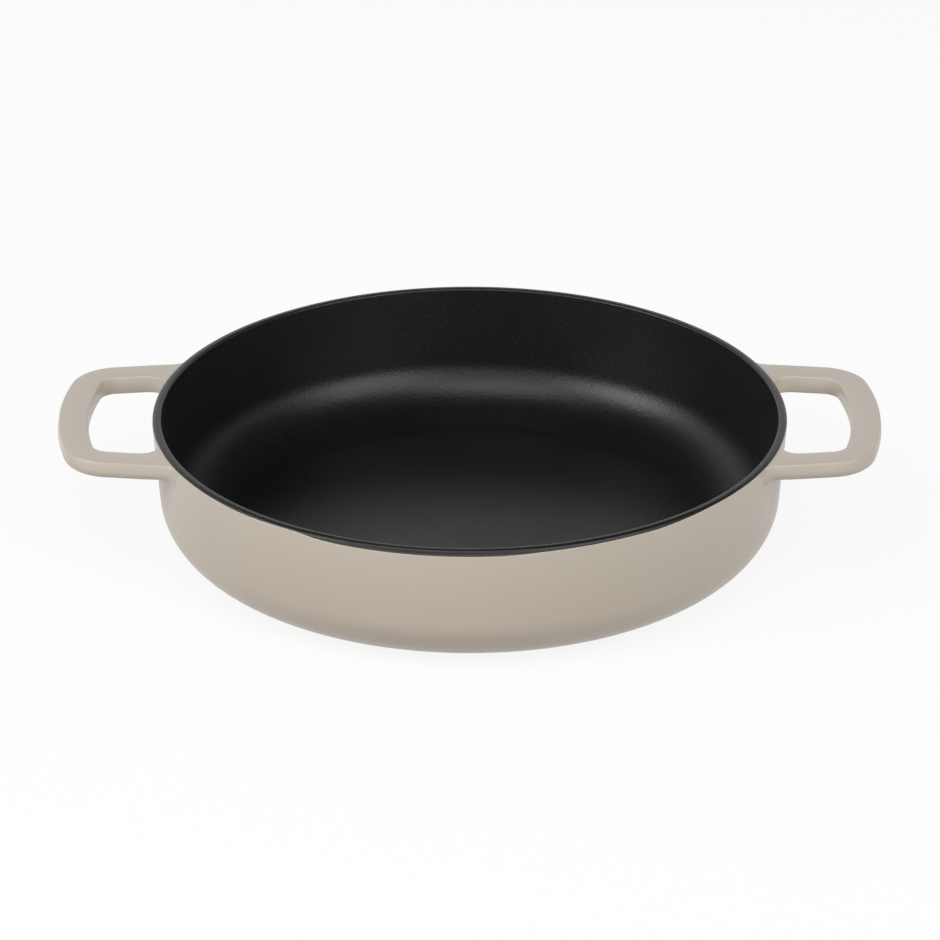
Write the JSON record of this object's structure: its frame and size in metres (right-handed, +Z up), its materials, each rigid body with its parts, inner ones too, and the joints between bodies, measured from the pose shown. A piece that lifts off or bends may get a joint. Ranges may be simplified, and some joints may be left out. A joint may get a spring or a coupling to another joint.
{
  "type": "frying pan",
  "caption": "Shallow round enamelled cast-iron frying pan with a coved base, a satin black lining and a flat loop handle on each side.",
  "frame": {"origin": "middle of the flat base, on the surface that the pan stands on", "axes": "+Z up through the mouth, +X out through one loop handle, +Y along the handles' width"},
  "size_m": [0.3708, 0.286, 0.0622],
  "materials": {
    "cast_iron": "grey iron as cast, hidden under the enamel",
    "greige_enamel": "gloss vitreous enamel, warm greige",
    "black_enamel": "satin black vitreous enamel with a fine grain"
  },
  "bodies": {
    "root": {"bowl_casting": "cast_iron", "left_handle_casting": "cast_iron", "right_handle_casting": "cast_iron", "wall_enamel": "greige_enamel", "base_enamel": "greige_enamel", "left_handle_enamel": "greige_enamel", "right_handle_enamel": "greige_enamel", "lining_enamel": "black_enamel", "rim_enamel": "black_enamel"}
  },
  "joints": []
}
